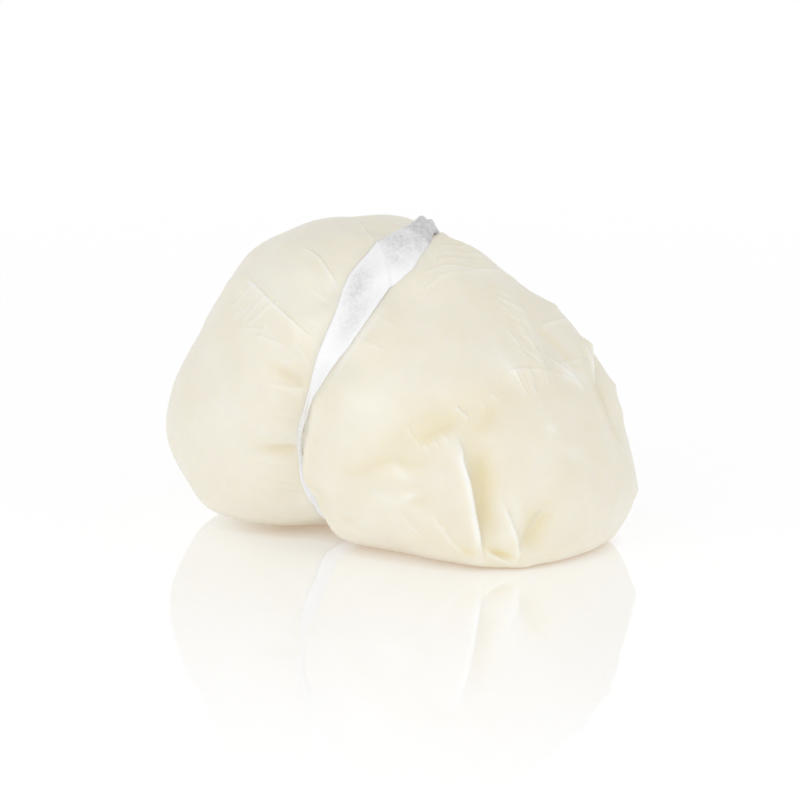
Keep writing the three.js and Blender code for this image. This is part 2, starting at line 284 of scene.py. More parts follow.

# Painted shade, yellower and darker, besides that in the hollows themselves, and lightened where the
# strength is minus: strength, half width and path.
SHADE_PATCHES = (
    (0.10, 1.5, ((31, -1), (38, 3), (45, 6))),
    (0.50, 0.8, ((55, -32), (60, -32))),
    (0.45, 0.7, ((46, -33), (49, -33))),
    (0.14, 9.0, ((28, -34), (40, -34), (60, -32), (80, -28))),
    (0.12, 6.0, ((-50, -30), (-36, -29), (-24, -28))),
    (-0.40, 2.6, ((103, 15), (99, 8), (98, 1), (100, -7))),
    (-0.16, 3.0, ((36, 2), (42, 5), (48, 8), (56, 10))),
    (0.30, 1.2, ((90, 29), (92, 22), (91, 16))),
)

# Small swellings and dimples of the skin: azimuth, elevation, height and half width.
PIMPLES = (
    (70, 6, 0.22, 1.2),
    (71, 2, 0.20, 1.1),
    (73, -3, 0.28, 1.4),
    (77, -3, 0.22, 1.2),
    (78, -11, 0.22, 1.0),
    (79, -14, 0.25, 1.3),
    (81, -18, 0.22, 1.2),
    (89, -10, 0.20, 1.2),
    (25, -14, 0.25, 0.9),
    (-61, 5, 0.20, 1.5),
    (-56, 1, 0.20, 1.2),
    (34, 40, -0.15, 0.5),
    (1, -39, -0.60, 2.0),
    (57, -33, -0.80, 1.8),
    (107, 19, 1.00, 1.8),
    (112, 32, 0.60, 1.6),
    (104, 12, -0.50, 1.6),
    (105, 7, 0.60, 1.4),
    (104, 4, -0.30, 1.2),
    (107, 0, 0.55, 1.4),
    (104, -4, -0.35, 1.3),
    (107, -8, -0.30, 2.0),
    (104, -17, 0.55, 1.8),
    (100, -23, -0.50, 1.6),
    (97, -28, 0.50, 1.6),
    (96, 76, 2.40, 3.2),
    (91, 66, 0.50, 4.0),
    (-84, -42, -0.60, 7.0),
    (-83, 33, -0.45, 3.0),
    (-82, 52, -0.40, 3.0),
)

# The skin's general unevenness: height, number of waves, their length in degrees, and the seed.
UNEVENNESS = ((0.22, 14, 22.0, 5), (0.07, 18, 9.0, 6))

# How much shade is painted yellow into the curd for each millimetre of depth in its folds, its pleats
# and its creases.
FOLD_SHADE = 0.36
PLEAT_SHADE = 0.1
CREASE_SHADE = 0.25

# Where the skin's triangles are halved again, in half widths from every crease, and from the
# sharpest ones once more. Under the tape the skin stays plain, out to some degrees off its edges.
NEAR_LINES = 3.0
NEAR_SHARPEST = 1.9
CLEAR_OF_TAPE = 2.5


# ---- Small helpers ------------------------------------------------------------------------------
def fade(x, start, end):
    """Smoothly from 0 at start to 1 at end."""
    t = np.clip((x - start) / (end - start), 0.0, 1.0)
    return t * t * (3.0 - 2.0 * t)


def bell(x, width):
    return np.exp(-((x / width) ** 2))


def rounded_max(a, b, k):
    """The larger value, with the corner between them rounded over the width k."""
    near = np.maximum(k - np.abs(a - b), 0.0) / k
    return np.maximum(a, b) + near * near * k * 0.25


def direction(azimuth, elevation):
    a, e = math.radians(azimuth), math.radians(elevation)
    return np.array((math.sin(a) * math.cos(e), -math.cos(a) * math.cos(e), math.sin(e)))


def unit(vectors):
    return vectors / np.linalg.norm(vectors, axis=-1, keepdims=True)


def around(stops, angle):
    """The values that a table of stops gives at angles round the tie, smoothly from stop to stop."""
    angle = np.mod(angle + 90.0, 360.0) - 90.0
    values = [np.zeros_like(angle) for _ in stops[0][1:]]
    for (start, *first), (end, *last) in zip(stops[:-1], stops[1:]):
        inside = (angle >= start) & (angle <= end)
        share = fade(angle[inside], start, end)
        for value, a, b in zip(values, first, last):
            value[inside] = a + (b - a) * share
    return values


def waves(d, count, length, seed):
    """Smooth unevenness from -1 to 1 over the directions, of about a wave length in degrees."""
    random = np.random.RandomState(seed)
    total = np.zeros(len(d))
    for _ in range(count):
        axis = unit(random.normal(size=3)) * 360.0 / length * random.uniform(0.7, 1.4)
        total += np.sin(d @ axis + random.uniform(0.0, 2.0 * math.pi))
    return total / math.sqrt(2.0 * count)


# ---- The tie's own axes -------------------------------------------------------------------------
def tie_axes():
    lean, yaw = math.radians(TIE_LEAN), math.radians(TIE_YAW)
    level = math.cos(lean)
    axis = np.array((level * math.cos(yaw), level * math.sin(yaw), -math.sin(lean)))
    up = unit(np.array((0.0, 0.0, 1.0)) - axis * axis[2])
    return axis, up, np.cross(axis, up)


TIE_AXIS, TIE_UP, TIE_FRONT = tie_axes()


def tie_direction(round_tie, off):
    r, o = np.radians(round_tie)[..., None], np.radians(off)[..., None]
    in_plane = np.cos(r) * TIE_FRONT + np.sin(r) * TIE_UP
    return in_plane * np.cos(o) + TIE_AXIS * np.sin(o)


def tie_angles(d):
    round_tie = np.degrees(np.arctan2(d @ TIE_UP, d @ TIE_FRONT))
    off = np.degrees(np.arcsin(np.clip(d @ TIE_AXIS, -1.0, 1.0)))
    return round_tie, off


# ---- The skin -----------------------------------------------------------------------------------
def lobe_reach(d, centre, half, tilt, yaw):
    """How far rays from the heart run inside a leaning ellipsoid."""
    ct, st = math.cos(math.radians(tilt)), math.sin(math.radians(tilt))
    cy, sy = math.cos(math.radians(yaw)), math.sin(math.radians(yaw))
    lean = np.array(((ct, 0, -st), (0, 1, 0), (st, 0, ct)))
    turn = lean @ np.array(((cy, sy, 0), (-sy, cy, 0), (0, 0, 1)))
    start = turn @ (HEART - np.array(centre)) / half
    v = d @ turn.T / half
    a, b, c = (v * v).sum(1), v @ start, start @ start - 1.0
    return (-b + np.sqrt(b * b - a * c)) / a


def pinch_depth(round_tie, off):
    centre, depth, lip = around(WAIST_STOPS, round_tie)
    side = off - centre
    gentle = np.maximum(1.0 - np.hypot(side, PINCH_ROUNDING) / PINCH_REACH, 0.0) ** 2
    steep = 1.0 - fade(side, *LIP)
    return depth * (gentle + (steep - gentle) * np.where(side > 0.0, lip, 0.0))


def lump_height(d):
    height = np.zeros(len(d))
    for azimuth, elevation, rise, width in LUMPS:
        angle = np.degrees(np.arccos(np.clip(d @ direction(azimuth, elevation), -1.0, 1.0)))
        height += rise * bell(angle, width)
    return height


def smooth_path(path, steps):
    """Points of a smooth curve through the given directions."""
    knots = np.array([direction(*p) for p in path])
    padded = np.vstack((2 * knots[0] - knots[1], knots, 2 * knots[-1] - knots[-2]))
    t = np.linspace(0.0, 1.0, steps, endpoint=False)[:, None]
    points = []
    for a, b, c, e in zip(padded[:-3], padded[1:-2], padded[2:-1], padded[3:]):
        bend = (2 * a - 5 * b + 4 * c - e) * t**2 + (3 * b - a - 3 * c + e) * t**3
        points.append(b + 0.5 * ((c - a) * t + bend))
    return unit(np.vstack((*points, knots[-1:])))


def nearest(points, d):
    """For each direction, its distance to a row of points, minus on one side, and how far along."""
    best = np.full(len(d), np.inf)
    along, side = np.zeros(len(d)), np.ones(len(d))
    for i, (a, b) in enumerate(zip(points[:-1], points[1:])):
        run = b - a
        share = np.clip((d - a) @ run / (run @ run), 0.0, 1.0)
        gap = np.linalg.norm(d - a - share[:, None] * run, axis=1)
        closer = gap < best
        best[closer] = gap[closer]
        along[closer] = (i + share[closer]) / (len(points) - 1)
        side[closer] = np.sign(np.cross(run, d[closer] - a) @ a + 1e-12)
    return best, along, side


def near_path(points, d, reach, margin):
    """Which directions may lie within a margin of a row of points, by its bounding cone."""
    middle = unit(points.mean(0))
    cone = math.acos(min(float((points @ middle).min()), 1.0)) + margin / float(reach.min())
    return np.flatnonzero(d @ middle > math.cos(min(cone, math.pi)))


def line_height(lines, d, reach):
    """The height of soft lines, ridges or valleys, over the skin."""
    height = np.zeros(len(d))
    for rise, width, path in lines:
        points = smooth_path(path, PATH_STEPS)
        close = near_path(points, d, reach, BELL_REACH * width)
        gap, along, _ = nearest(points, d[close])
        ends = fade(along, -FOLD_TAPER, FOLD_TAPER) * fade(1.0 - along, -FOLD_TAPER, FOLD_TAPER)
        height[close] += rise * bell(gap * reach[close], width) * ends
    return height


def ledge_relief(ledges, d, reach):
    """The height of ledges over the skin, and a mask of the highlights painted white on their crests.
    """
    height, painted_highlight_and_gloss = np.zeros(len(d)), np.zeros(len(d))
    for rise, drop, spread, path in ledges:
        points = smooth_path(path, LEDGE_STEPS)
        close = near_path(points, d, reach, BELL_REACH * spread)
        gap, along, side = nearest(points, d[close])
        out = gap * side * reach[close]
        ends = fade(along, 0.0, LEDGE_TAPER) * fade(1.0 - along, 0.0, LEDGE_TAPER)
        step = fade(out, 0.0, drop)
        height[close] += rise * ends * bell(out, spread) * (1.0 - LEDGE_FALL * step)
        # The highlight painted white along each crest, before the drop.
        brightest = np.clip(HIGHLIGHT_PER_RISE * abs(rise), 0.0, HIGHLIGHT_MOST)
        white = ends * bell(out, HIGHLIGHT_WIDTH * drop) * (1.0 - step) * brightest
        painted_highlight_and_gloss[close] = np.maximum(painted_highlight_and_gloss[close], white)
    return height, painted_highlight_and_gloss


def pleat_depth(round_tie, off, reach):
    out = np.abs(off)
    start, deepest, end = PLEAT_SPAN
    strength = fade(out, start, deepest) * (1.0 - fade(out, deepest, end))
    depth = np.zeros_like(off)
    for side, angles in ((off < 0.0, SMALL_LOBE_PLEATS), (off >= 0.0, LARGE_LOBE_PLEATS)):
        for angle in angles:
            turn = np.radians(np.mod(round_tie[side] - angle + 180.0, 360.0) - 180.0)
            width = PLEAT_WIDTH + out[side] / PLEAT_SPREAD
            depth[side] += PLEAT_DEPTH * bell(turn * reach[side], width)
    return depth * strength


def body_reach(d):
    """How far the skin is from the heart, without folds or pleats."""
    round_tie, off = tie_angles(d)
    lobes = rounded_max(lobe_reach(d, **SMALL_LOBE), lobe_reach(d, **LARGE_LOBE), LOBE_BLEND)
    return lobes - pinch_depth(round_tie, off) + lump_height(d)


def folded_reach(d):
    """The skin's reach as the solid has it, and the height of its folds and depth of its pleats."""
    body = body_reach(d)
    folds = line_height(FOLDS, d, body)
    pleats = pleat_depth(*tie_angles(d), body)
    return body + folds - pleats, folds, pleats


def settled(d, reach):
    """The points at a reach along the directions, settled on the floor, in millimetres."""
    points = HEART + d * reach[:, None]
    round_tie, off = tie_angles(d)
    centre, _, _ = around(WAIST_STOPS, round_tie)
    channel = CHANNEL_HEIGHT * (1.0 - fade(np.abs(off - centre), *CHANNEL_EDGE))
    points[:, 2] = rounded_max(points[:, 2], channel, FLOOR_BLEND)
    return points


# ---- The fine relief ----------------------------------------------------------------------------
def bundled_creases():
    """The creases of the bundles: paths spread between the first and the last, slightly uneven."""
    random = np.random.RandomState(4)
    lines = []
    for height, width, count, first, last in BUNDLES:
        for i in range(count):
            share = (i + 0.5 + random.uniform(-0.25, 0.25)) / count
            path = np.array(first) * (1.0 - share) + np.array(last) * share
            path += random.uniform(-0.6, 0.6, path.shape)
            lines.append((height * random.uniform(0.6, 1.2), width, path))
    return lines


def stray_creases():
    """Short creases in small fans all over the sides that face away from the viewer."""
    random = np.random.RandomState(11)
    lines = []
    for _ in range(STRAY_FANS):
        azimuth, elevation = random.uniform(*STRAY_AZIMUTHS), random.uniform(*STRAY_ELEVATIONS)
        heading, run = random.uniform(0.0, 2.0 * math.pi), random.uniform(*STRAY_LENGTHS)
        stretch = 1.0 / math.cos(math.radians(elevation))
        for turn in random.uniform(-0.35, 0.35, random.randint(2, 5)):
            steps = np.linspace(0.0, run * random.uniform(0.6, 1.0), 3)
            bend = heading + turn + np.array((0.0, 0.08, 0.25)) * random.uniform(-1.0, 1.0)
            start = np.array((azimuth, elevation)) + random.uniform(-3.0, 3.0, 2)
            path = start + np.stack((np.cos(bend) * steps * stretch, np.sin(bend) * steps), 1)
            lines.append((random.uniform(0.18, 0.34), random.uniform(0.34, 0.5), path))
    return lines


def waist_creases():
    """Thin creases that run out from the ribbon's edges over both lobes."""
    random = np.random.RandomState(23)
    lines = []
    for side in (-1.0, 1.0):
        angles = np.arange(-60.0, 300.0, WAIST_CREASE_STEP)
        angles += random.uniform(-3.5, 3.5, angles.size)
        edge = tape_edges(angles)[0 if side < 0.0 else 1]
        for angle, start in zip(angles, edge):
            run = random.uniform(*WAIST_CREASE_LENGTHS)
            bend = random.uniform(-3.0, 3.0)
            off = start + side * np.linspace(0.6, run, 3)
            d = tie_direction(angle + bend * np.array((0.0, 0.3, 1.0)), off)
            path = np.degrees(np.stack((np.arctan2(d[:, 0], -d[:, 1]), np.arcsin(d[:, 2])), 1))
            lines.append((random.uniform(0.08, 0.20), random.uniform(0.34, 0.5), path))
    return lines


def pimple_height(d, reach):
    height = np.zeros(len(d))
    for azimuth, elevation, rise, width in PIMPLES:
        gap = np.linalg.norm(d - direction(azimuth, elevation), axis=1) * reach
        height += rise * bell(gap, width)
    return height


# ---- Mesh making --------------------------------------------------------------------------------
def icosphere(levels):
    """A unit sphere of even triangles."""
    g = (1.0 + math.sqrt(5.0)) / 2.0
    corners = [(x, y * g, 0.0) for y in (1, -1) for x in (-1, 1)]
    points = np.array([np.roll(c, s) for s in (0, 1, 2) for c in corners])
    joined = np.abs(np.linalg.norm(points[:, None] - points[None], axis=2) - 2.0) < 1e-6
    faces = []
    for i in range(12):
        for j in range(i + 1, 12):
            for k in range(j + 1, 12):
                if joined[i, j] and joined[j, k] and joined[i, k]:
                    normal = np.cross(points[j] - points[i], points[k] - points[i])
                    faces.append((i, j, k) if normal @ points[i] > 0 else (i, k, j))
    points, faces = unit(points), np.array(faces)
    for _ in range(levels):
        points, faces = split(points, faces, np.ones(len(faces), bool))
    return points, faces


def split(points, faces, marked):
    """Splits the marked triangles in four on the sphere, and their neighbours so that no gap opens."""
    sides = np.sort(np.stack((faces, np.roll(faces, -1, axis=1)), axis=2).reshape(-1, 2), axis=1)
    edges, side_edge = np.unique(sides, axis=0, return_inverse=True)
    side_edge = side_edge.reshape(-1, 3)
    cut = np.zeros(len(edges), bool)
    cut[side_edge[marked].ravel()] = True
    middle = np.full(len(edges), -1)
    middle[cut] = len(points) + np.arange(cut.sum())
    points = np.vstack((points, unit(points[edges[cut]].mean(1))))
    mids = middle[side_edge]
    is_cut = mids >= 0
    count = is_cut.sum(1)
    out = [faces[count == 0]]
    whole = count == 3
    (a, b, c), (ab, bc, ca) = faces[whole].T, mids[whole].T
    out += [np.stack(t, 1) for t in ((a, ab, ca), (ab, b, bc), (ca, bc, c), (ab, bc, ca))]
    for turn in range(3):
        f, m, k = (np.roll(table, -turn, axis=1) for table in (faces, mids, is_cut))
        one = (count == 1) & k[:, 0]
        (a, b, c), ab = f[one].T, m[one, 0]
        out += [np.stack((a, ab, c), 1), np.stack((ab, b, c), 1)]
        two = (count == 2) & ~k[:, 2]
        (a, b, c), (ab, bc) = f[two].T, m[two, :2].T
        out += [np.stack((ab, b, bc), 1), np.stack((a, ab, bc), 1), np.stack((a, bc, c), 1)]
    return points, np.vstack(out)


def close_to_lines(lines, d, reach, margin):
    """Which directions lie within a number of half widths of any of the lines."""
    close = np.zeros(len(d), bool)
    for _, width, path in lines:
        points = smooth_path(path, PATH_STEPS)
        some = near_path(points, d, reach, margin * width)
        gap, _, _ = nearest(points, d[some])
        close[some] |= gap * reach[some] < margin * width
    return close


def make_object(name, points_mm, faces, attributes=None):
    """A smooth mesh object, with its values at each point as named attributes."""
    mesh = bpy.data.meshes.new(name)
    mesh.from_pydata((np.asarray(points_mm) * MM).tolist(), [], np.asarray(faces).tolist())
    for key, values in (attributes or {}).items():
        layer = mesh.attributes.new(key, "FLOAT", "POINT")
        layer.data.foreach_set("value", np.asarray(values, np.float32).ravel())
    mesh.polygons.foreach_set("use_smooth", np.ones(len(mesh.polygons), bool))
    mesh.update()
    item = bpy.data.objects.new(name, mesh)
    bpy.context.scene.collection.objects.link(item)
    return item


# ---- The ribbon's shape -------------------------------------------------------------------------
# The tape's two edges round the tie, in degrees off the tie's plane: the angle, the edge on the small
# lobe and the edge on the large lobe.
TAPE_STOPS = (
    (-90, -5.0, 6.0),
    (-70, -6.5, 8.0),
    (-62, -4.9, 9.0),
    (-52, -3.2, 9.0),
    (-44, -3.7, 8.0),
    (-38, -4.5, 6.5),
    (-32, -5.3, 4.0),
    (-28, -5.5, 1.0),
    (-23, -5.3, -1.5),
    (-18, -5.6, -3.5),
    (-12, -5.2, -3.2),
    (-6, -4.1, -2.5),
    (-1, -3.4, -1.4),
    (4, -2.7, -0.5),
    (9, -2.1, -0.1),
    (15, -1.4, 1.4),
    (19, -1.1, 4.5),
    (23, -1.0, 7.0),
    (30, -0.9, 7.6),
    (35, -0.9, 8.2),
    (40, -1.4, 10.4),
    (47, -2.2, 10.8),
    (52, -3.2, 10.8),
    (57, -5.0, 10.4),
    (62, -5.8, 9.4),
    (67, -5.7, 8.3),
    (71, -5.5, 9.6),
    (77, -6.2, 9.9),
    (81, -6.4, 8.0),
    (85, -7.0, 6.8),
    (88, -6.0, 5.4),
    (91, -6.0, 3.4),
    (97, -7.4, -0.6),
    (125, -6.0, 1.5),
    (150, -6.0, 5.0),
    (200, -6.0, 6.0),
    (250, -5.0, 5.0),
)
TAPE_CORNER = 1.3
TAPE_GAP = 0.05
EDGE_SINK = 0.3
# Where the tape is folded over itself: the fold's place round the tie at either edge, its step, and
# its bright hem.
FOLD_OVER = {
    "near": 77.0,
    "far": 67.5,
    "width": 0.5,
    "step": 0.35,
    "step_ramp": (22.0, 1.0),
    "hem": 0.2,
    "hem_place": 0.6,
    "hem_width": 0.8,
}
# The bunch on top: its place round the tie, how steeply it rises and falls, its height, how much
# lower its sides are, and its lengthwise pleats.
BUNCH = {
    "angle": 94.0,
    "rise": 3.0,
    "fall": 6.6,
    "height": 2.8,
    "crown": 0.36,
    "pleats": 2.0,
    "pleat_height": -0.11,
}
# The gathered strand low on the front: where it starts and is full, its round back and its pleats.
STRAND = {"from": 18.0, "to": 4.0, "crown": 0.3, "pleats": 2.0, "pleat_height": 0.1, "turn": 0.6}
# How the tape spans its hollow run: the share that it stands off, and how softly it lands.
TAPE_TAUTNESS = 0.6
TAPE_LANDING = 0.4
TAPE_COLUMNS = 900
TAPE_ROWS = 24

# Where the skin lies tight on the tape and greys it: the angle, the place across from -1 to 1, how
# far it spreads both ways, and its strength.
GREY_PATCHES = (
    (60.0, -0.38, 8.0, 0.55, 0.50),
    (52.0, 0.1, 9.0, 0.7, 0.28),
    (81.0, -0.3, 5.0, 0.9, 0.60),
    (85.0, 0.5, 4.0, 0.7, 0.60),
    (75.0, 0.1, 3.0, 0.6, 0.35),
    (-35.0, 0.0, 28.0, 3.0, 0.32),
)
# The grey of the bunch round the tie, and what stays white: the hem, and the border before it.
GREY_BUNCH = (84.0, 89.0, 112.0, 130.0)
WHITE_HEM = {"place": 0.4, "width": 1.3}
WHITE_BORDER = {"from": 0.72, "to": 0.88, "strength": 0.9}


def tape_edges(angle):
    """The tape's edges at angles round the tie, straight between the stops, with rounded corners."""
    grid = np.arange(-90.0, 270.0, 0.5)
    stops = np.array(TAPE_STOPS).T
    window = bell(np.arange(-12, 13) * 0.5, TAPE_CORNER)
    edges = []
    for edge in stops[1:]:
        straight = np.interp(grid, stops[0], edge, period=360.0)
        rounded = np.convolve(np.pad(straight, 12, mode="wrap"), window / window.sum(), "valid")
        edges.append(np.interp(angle, grid, rounded, period=360.0))
    return edges


def fold_angle(side):
    return FOLD_OVER["near"] + (FOLD_OVER["far"] - FOLD_OVER["near"]) * (side + 1.0) / 2.0


def tape_lift(angle, side):
    """How far the tape's face rises over its run: its fold-over, its bunch and its gathered strand."""
    fold = fold_angle(side)
    before = 1.0 - fade(angle, fold - FOLD_OVER["width"], fold + FOLD_OVER["width"])
    start, end = FOLD_OVER["step_ramp"]
    lift = FOLD_OVER["step"] * before * fade(angle, fold - start, fold - end)
    lift += FOLD_OVER["hem"] * bell(angle - fold + FOLD_OVER["hem_place"], FOLD_OVER["hem_width"])
    past = angle - BUNCH["angle"]
    bunch = bell(past, np.where(past < 0.0, BUNCH["rise"], BUNCH["fall"]))
    pleat = BUNCH["pleat_height"] * np.cos(side * math.pi * BUNCH["pleats"])
    lift += BUNCH["height"] * bunch * np.maximum(1.0 - BUNCH["crown"] * side * side + pleat, 0.0)
    strand = 1.0 - fade(angle, STRAND["to"], STRAND["from"])
    fine = STRAND["pleat_height"] * np.cos(side * math.pi * STRAND["pleats"] + STRAND["turn"])
    lift += strand * (STRAND["crown"] * (1.0 - side * side) + fine)
    return lift - EDGE_SINK * side**8


def tape_grey(angle, side):
    """How grey the tape is: all of its bunch, patches of its leaves, and not its hem."""
    start, full, last, end = GREY_BUNCH
    grey = fade(angle, start, full) * (1.0 - fade(angle, last, end))
    for at, across, spread, spread_across, strength in GREY_PATCHES:
        patch = bell(angle - at, spread) * bell(side - across, spread_across)
        grey = np.maximum(grey, strength * patch)
    fold = fold_angle(side)
    grey *= 1.0 - bell(angle - fold + WHITE_HEM["place"], WHITE_HEM["width"])
    border = fade(-side, WHITE_BORDER["from"], WHITE_BORDER["to"]) * (angle < fold)
    return grey * (1.0 - WHITE_BORDER["strength"] * border)


def tape_faces(columns, sides):
    """The quads of a closed band with this many points round its section."""
    i, k = np.meshgrid(np.arange(columns), np.arange(sides), indexing="ij")
    a, b = i * sides + k, i * sides + (k + 1) % sides
    c, e = ((i + 1) % columns) * sides + k, ((i + 1) % columns) * sides + (k + 1) % sides
    return np.stack((a, b, e, c), axis=2).reshape(-1, 4)


def skin_reach(d):
    """How far the settled skin is from the heart along directions of any shape."""
    flat = d.reshape(-1, 3)
    points = settled(flat, folded_reach(flat)[0])
    return np.linalg.norm(points - HEART, axis=1).reshape(d.shape[:-1])


def tape_points(columns, rows, thickness):
    """The tape's section points round the tie, and their places along and across it."""
    angle = np.arange(columns) * 360.0 / columns - 90.0
    near, far = tape_edges(angle)
    share = np.linspace(0.0, 1.0, rows + 1)
    side = np.repeat(2.0 * share[None] - 1.0, columns, axis=0)
    turn = np.repeat(angle[:, None], rows + 1, axis=1)
    edge_d = tie_direction(np.stack((angle, angle), 1), np.stack((near, far), 1))
    edge = HEART + edge_d * skin_reach(edge_d)[..., None]
    chord = edge[:, :1] + (edge[:, 1:] - edge[:, :1]) * share[None, :, None]
    d = unit(chord - HEART)
    under = skin_reach(d)
    taut = under + TAPE_TAUTNESS * (np.linalg.norm(chord - HEART, axis=2) - under)
    run = rounded_max(under, taut, TAPE_LANDING) + TAPE_GAP
    lift = tape_lift(turn, side)
    inner = HEART + d * (run + np.minimum(lift, 0.0))[..., None]
    outer = HEART + d * (run + lift + thickness)[..., None]
    along = np.radians(turn) * run
    across = side * np.linalg.norm(edge[:, 1] - edge[:, 0], axis=1)[:, None] / 2.0
    return outer, inner, turn, side, along, across


# ---- The cheese's finished skin -----------------------------------------------------------------
def skin_directions(halvings, lines, sharpest):
    """Directions all over the body and their triangles, finer along the lines."""
    d, faces = icosphere(halvings)
    for margin, some in ((NEAR_LINES, lines), (NEAR_SHARPEST, sharpest)):
        close = close_to_lines(some, d, body_reach(d), margin)
        d, faces = split(d, faces, close[faces].all(1))
    return d, faces


def finished_skin(d, ledges):
    """The skin's points, with the shade painted into its hollows and the highlight painted on its
    crests at each one.
    """
    reach, folds, pleats = folded_reach(d)
    sharp = line_height(SHARP_FOLDS, d, reach)
    fine, painted_highlight_and_gloss = ledge_relief(ledges, d, reach)
    fine += pimple_height(d, reach)
    uneven = sum(height * waves(d, *wave) for height, *wave in UNEVENNESS)
    round_tie, off = tie_angles(d)
    near, far = tape_edges(round_tie)
    clear = fade(np.maximum(near - off, off - far), 0.0, CLEAR_OF_TAPE)
    points = settled(d, reach + (sharp + fine + uneven) * clear)
    # Shade painted yellow into the folds, pleats and creases by their depth, and more in the shade
    # patches.
    depth = PLEAT_SHADE * pleats - folds - sharp
    painted_shade = FOLD_SHADE * np.clip(depth, 0.0, None) + CREASE_SHADE * np.clip(-fine, 0.0, None)
    painted_shade = np.clip(painted_shade + line_height(SHADE_PATCHES, d, reach), 0.0, 1.0)
    # Highlights painted white on the crests and in patches, faded under the tape.
    painted_highlight_and_gloss = np.clip(painted_highlight_and_gloss + line_height(PAINTED_HIGHLIGHTS, d, reach), 0.0, 1.0) * clear
    return points, painted_shade, painted_highlight_and_gloss


# ---- Materials ----------------------------------------------------------------------------------
def new_material(name):
    material = bpy.data.materials.new(name)
    material.use_nodes = True
    return material, material.node_tree, material.node_tree.nodes["Principled BSDF"]


def add(tree, kind, **values):
    """A node with its properties set, and its inputs by name where they have one."""
    node = tree.nodes.new(kind)
    for key, value in values.items():
        if hasattr(node, key):
            setattr(node, key, value)
        else:
            node.inputs[key.replace("_", " ")].default_value = value
    return node


def film_group():
    """Shared by the cheese and the ribbon: fine wrinkles of the tight skin, as a height and a mask."""
    group = bpy.data.node_groups.new("tight_skin", "ShaderNodeTree")
    group.interface.new_socket("Wrinkle Scale", in_out="INPUT", socket_type="NodeSocketFloat")
    group.interface.new_socket("Speck Scale", in_out="INPUT", socket_type="NodeSocketFloat")
    group.interface.new_socket("Height", in_out="OUTPUT", socket_type="NodeSocketFloat")
    group.interface.new_socket("Specks", in_out="OUTPUT", socket_type="NodeSocketFloat")
    start, end = add(group, "NodeGroupInput"), add(group, "NodeGroupOutput")
    place = add(group, "ShaderNodeTexCoord")
    wrinkles = add(group, "ShaderNodeTexNoise", Detail=3.0, Roughness=0.55, Distortion=0.6)
    specks = add(group, "ShaderNodeTexNoise", Detail=4.0, Roughness=0.7)
    link = group.links.new
    link(place.outputs["Object"], wrinkles.inputs["Vector"])
    link(place.outputs["Object"], specks.inputs["Vector"])
    link(start.outputs["Wrinkle Scale"], wrinkles.inputs["Scale"])
    link(start.outputs["Speck Scale"], specks.inputs["Scale"])
    link(wrinkles.outputs["Fac"], end.inputs["Height"])
    link(specks.outputs["Fac"], end.inputs["Specks"])
    return group


def use_group(tree, group, **values):
    node = tree.nodes.new("ShaderNodeGroup")
    node.node_tree = group
    for key, value in values.items():
        node.inputs[key.replace("_", " ")].default_value = value
    return node


def mix_colour(tree, factor, first, second):
    """A colour between two others, each a value or the output of a node."""
    node = add(tree, "ShaderNodeMix", data_type="RGBA")
    tree.links.new(factor, node.inputs["Factor"])
    for socket, value in (("A", first), ("B", second)):
        inputs = [i for i in node.inputs if i.identifier == socket + "_Color"]
        if isinstance(value, bpy.types.NodeSocket):
            tree.links.new(value, inputs[0])
        else:
            inputs[0].default_value = (*value, 1.0)
    return [o for o in node.outputs if o.identifier == "Result_Color"][0]


def cheese_material(settings, film):
    material, tree, shader = new_material("cheese_curd")
    link = tree.links.new
    painted_shade = add(tree, "ShaderNodeAttribute", attribute_name="painted_shade")
    skin = use_group(tree, film, Wrinkle_Scale=420.0, Speck_Scale=60.0)
    blotch = add(tree, "ShaderNodeMapRange", From_Min=0.35, From_Max=0.7)
    link(skin.outputs["Specks"], blotch.inputs["Value"])
    pale = mix_colour(tree, blotch.outputs["Result"], tuple(settings.cream), tuple(settings.milk))
    # Shade painted yellow deep in the folds, pleats and creases.
    shaded = mix_colour(tree, painted_shade.outputs["Fac"], pale, tuple(settings.fold_shade))
    # Highlights painted white on the crests and patches, which also raise the coat's gloss.
    painted_highlight_and_gloss = add(tree, "ShaderNodeAttribute", attribute_name="painted_highlight_and_gloss")
    skin_colour = mix_colour(tree, painted_highlight_and_gloss.outputs["Fac"], shaded, tuple(settings.white))
    link(skin_colour, shader.inputs["Base Color"])
    bump = add(tree, "ShaderNodeBump", Strength=0.25, Distance=0.00012)
    link(skin.outputs["Height"], bump.inputs["Height"])
    link(bump.outputs["Normal"], shader.inputs["Normal"])
    shader.inputs["Roughness"].default_value = 0.38
    shader.inputs["Specular IOR Level"].default_value = 0.3
    shader.inputs["Subsurface Weight"].default_value = 0.4
    shader.inputs["Subsurface Radius"].default_value = (1.0, 0.85, 0.5)
    shader.inputs["Subsurface Scale"].default_value = 0.003
    gloss = add(tree, "ShaderNodeMapRange", From_Min=0.0, From_Max=1.0, To_Min=0.12, To_Max=0.9)
    link(painted_highlight_and_gloss.outputs["Fac"], gloss.inputs["Value"])
    link(gloss.outputs["Result"], shader.inputs["Coat Weight"])
    shader.inputs["Coat Roughness"].default_value = 0.16
    return material


